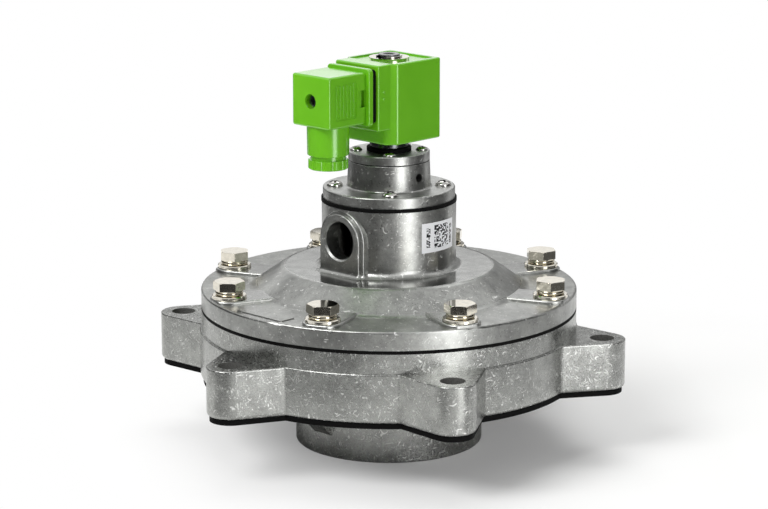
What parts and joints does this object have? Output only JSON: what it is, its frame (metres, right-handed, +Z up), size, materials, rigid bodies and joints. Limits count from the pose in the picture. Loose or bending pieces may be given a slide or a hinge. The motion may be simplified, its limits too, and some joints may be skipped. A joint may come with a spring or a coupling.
{
  "type": "tank-mounted dust collector pulse valve",
  "caption": "Round cast diaphragm pulse valve on a tank flange, with bolted domed cover, side exhaust port, green solenoid coil and plug.",
  "frame": {"origin": "centre of the outlet tube's lower end, on the valve's axis", "axes": "+Z up along the valve's axis, -Y towards the exhaust port and the plug, +X towards the label and the vent hole"},
  "size_m": [0.247, 0.281, 0.2294],
  "materials": {
    "manifold_casting": "blasted casting, satin",
    "cover_casting": "blasted casting, satin",
    "black_rubber": "matt",
    "seat_rubber": "matt",
    "plate_steel": "turned",
    "plated_steel": "bright nickel plating",
    "washer_steel": "bright plating",
    "polished_screw": "polished",
    "spring_steel": "drawn wire",
    "core_iron": "turned",
    "enamelled_copper": "enamelled wire",
    "green_plastic": "glossy moulded",
    "dark_plastic": "moulded",
    "label_film": null
  },
  "bodies": {
    "casing": {"manifold_body": "manifold_casting", "flange_gasket": "black_rubber", "main_diaphragm": "black_rubber", "main_spring": "spring_steel", "main_cover": "cover_casting", "cover_bolts": "plated_steel", "cover_flat_washers": "washer_steel", "cover_spring_washers": "washer_steel", "pilot_diaphragm": "black_rubber", "pilot_spring": "spring_steel", "pilot_cover": "cover_casting", "pilot_cover_screws": "polished_screw", "cap_gasket": "black_rubber", "tower_cap": "cover_casting", "cap_screws": "polished_screw", "armature_tube": "plate_steel", "tube_o_ring": "seat_rubber", "fixed_core": "core_iron", "plunger_spring": "spring_steel", "stem_seal": "black_rubber", "tube_collar": "polished_screw", "coil_washer": "washer_steel", "retaining_clip": "spring_steel", "turret_label": "label_film"},
    "main_disc": {"upper_plate": "plate_steel", "lower_plate": "plate_steel", "seat_disc": "seat_rubber", "plate_bolt": "plated_steel", "plate_nut": "plated_steel"},
    "pilot_valve": {"pilot_disc": "seat_rubber", "pilot_plate": "plate_steel"},
    "plunger": {"plunger": "core_iron", "plunger_seal": "seat_rubber"},
    "coil": {"coil_housing": "green_plastic", "coil_bobbin": "dark_plastic", "coil_winding": "enamelled_copper", "coil_yoke": "core_iron", "coil_terminals": "plated_steel", "plug_gasket": "black_rubber", "contact_carrier": "green_plastic", "plug_hood": "green_plastic", "plug_screw": "polished_screw", "gland_seal": "seat_rubber", "gland_washer": "washer_steel"},
    "gland_nut": {"gland_nut": "green_plastic"}
  },
  "joints": [
    {"name": "main_disc_lift", "type": "slide", "parent": "casing", "child": "main_disc", "axis": [0, 0, 1], "range_m": [0, 0.014], "stiffness_N_per_m": 1200, "springref_m": -0.012, "deforming": ["main_spring", "main_diaphragm"]},
    {"name": "pilot_disc_lift", "type": "slide", "parent": "casing", "child": "pilot_valve", "axis": [0, 0, 1], "range_m": [0, 0.003], "stiffness_N_per_m": 300, "springref_m": -0.006, "deforming": ["pilot_spring", "pilot_diaphragm"]},
    {"name": "plunger_lift", "type": "slide", "parent": "casing", "child": "plunger", "axis": [0, 0, 1], "range_m": [0, 0.0025], "stiffness_N_per_m": 300, "springref_m": -0.004, "deforming": ["plunger_spring"]},
    {"name": "coil_swivel", "type": "hinge", "parent": "casing", "child": "coil", "pos_m": [0, 0, 0.18], "axis": [0, 0, 1], "continuous": true},
    {"name": "gland_nut_turn", "type": "hinge", "parent": "coil", "child": "gland_nut", "pos_m": [0, -0.0495, 0.172], "axis": [0, 0, -1], "range_deg": [0, 720]}
  ]
}
